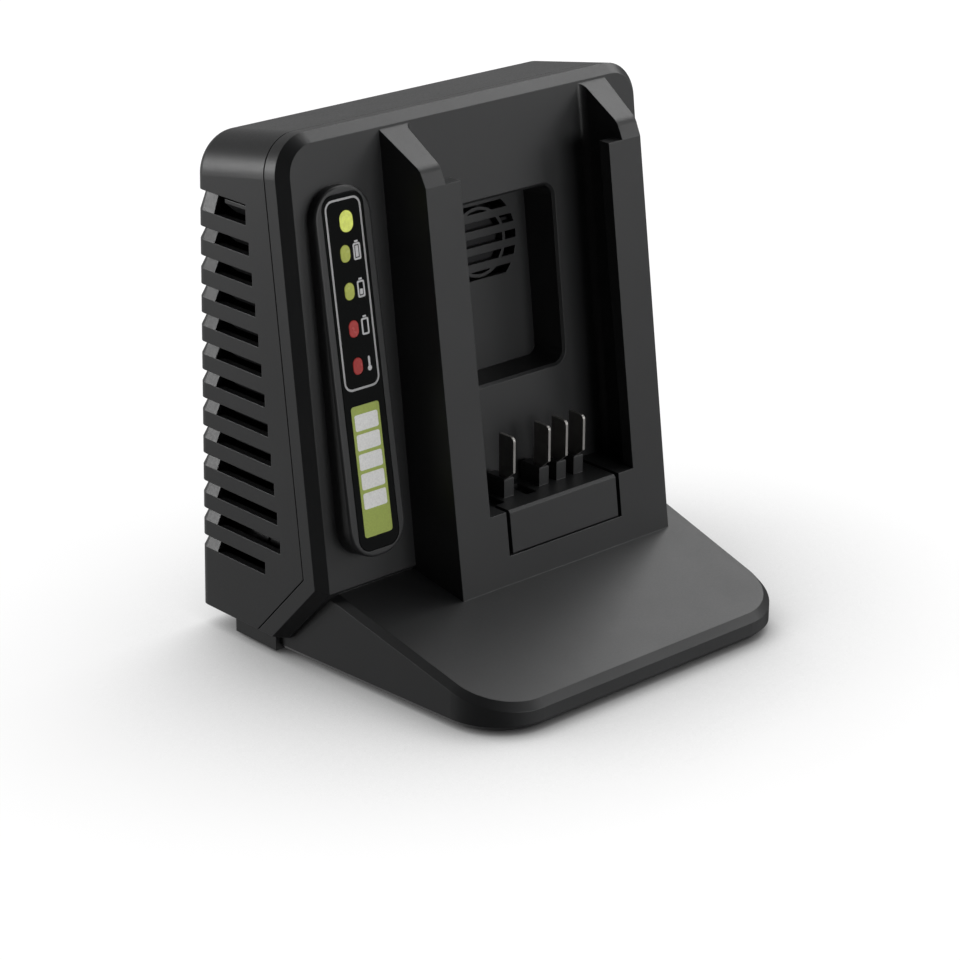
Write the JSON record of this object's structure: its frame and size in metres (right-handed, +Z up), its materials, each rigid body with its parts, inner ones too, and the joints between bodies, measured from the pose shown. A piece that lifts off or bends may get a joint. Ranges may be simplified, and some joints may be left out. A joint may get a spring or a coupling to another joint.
{
  "type": "power tool battery charger",
  "caption": "Desktop charger: leaning louvred tower with a slide-in battery dock, contact blades, a strip of status lights and a wedge foot.",
  "frame": {"origin": "on the table, under the middle of the charger's bounding box", "axes": "+X to the right of someone facing the dock, +Y to the back, +Z up"},
  "size_m": [0.157, 0.1372, 0.1782],
  "materials": {
    "housing_plastic": "satin, finely grained",
    "cover_plastic": "satin, finely grained",
    "rubber_foot": "matt",
    "screw_steel": "zinc plated",
    "gloss_black": "gloss",
    "label_green": "satin print",
    "lens_green": "moulded clear green",
    "lens_red": "moulded clear red",
    "board_laminate": "lacquered laminate",
    "led_package": "moulded",
    "ribbon_grey": "satin",
    "blade_metal": "nickel plated",
    "insert_plastic": "satin",
    "ferrite": "sintered",
    "winding_tape": "polyester tape",
    "capacitor_sleeve": "shrunk sleeve",
    "sink_aluminium": "extruded",
    "device_black": "moulded epoxy",
    "fuse_glass": "clear, with plated caps",
    "clip_brass": "tinned",
    "fan_plastic": "satin",
    "lead_black": "satin"
  },
  "bodies": {
    "charger": {"front_housing": "housing_plastic", "rear_housing": "housing_plastic", "bottom_cover": "cover_plastic", "rubber_feet": "rubber_foot", "housing_screws": "screw_steel", "bottom_screws": "screw_steel", "indicator_window": "gloss_black", "label_panel": "label_green", "green_light_guides": "lens_green", "red_light_guides": "lens_red", "led_board": "board_laminate", "indicator_leds": "led_package", "led_board_screws": "screw_steel", "ribbon_cable": "ribbon_grey", "terminal_block": "insert_plastic", "blade_positive": "blade_metal", "blade_temperature": "blade_metal", "blade_data": "blade_metal", "blade_negative": "blade_metal", "fan_frame": "fan_plastic", "fan_screws": "screw_steel", "fan_lead": "lead_black", "main_circuit_board": "board_laminate", "board_screws": "screw_steel", "transformer_core": "ferrite", "transformer_winding": "winding_tape", "filter_choke": "ferrite", "bulk_capacitors": "capacitor_sleeve", "output_capacitors": "capacitor_sleeve", "heat_sink": "sink_aluminium", "power_transistors": "device_black", "fuse": "fuse_glass", "fuse_clips": "clip_brass", "mains_inlet": "cover_plastic", "inlet_pins": "blade_metal"},
    "fan": {"fan_rotor": "fan_plastic"}
  },
  "joints": [
    {"name": "fan_spin", "type": "hinge", "parent": "charger", "child": "fan", "pos_m": [0.012, 0.0309, 0.12491], "axis": [0, 0.9929, -0.1191], "continuous": true}
  ]
}
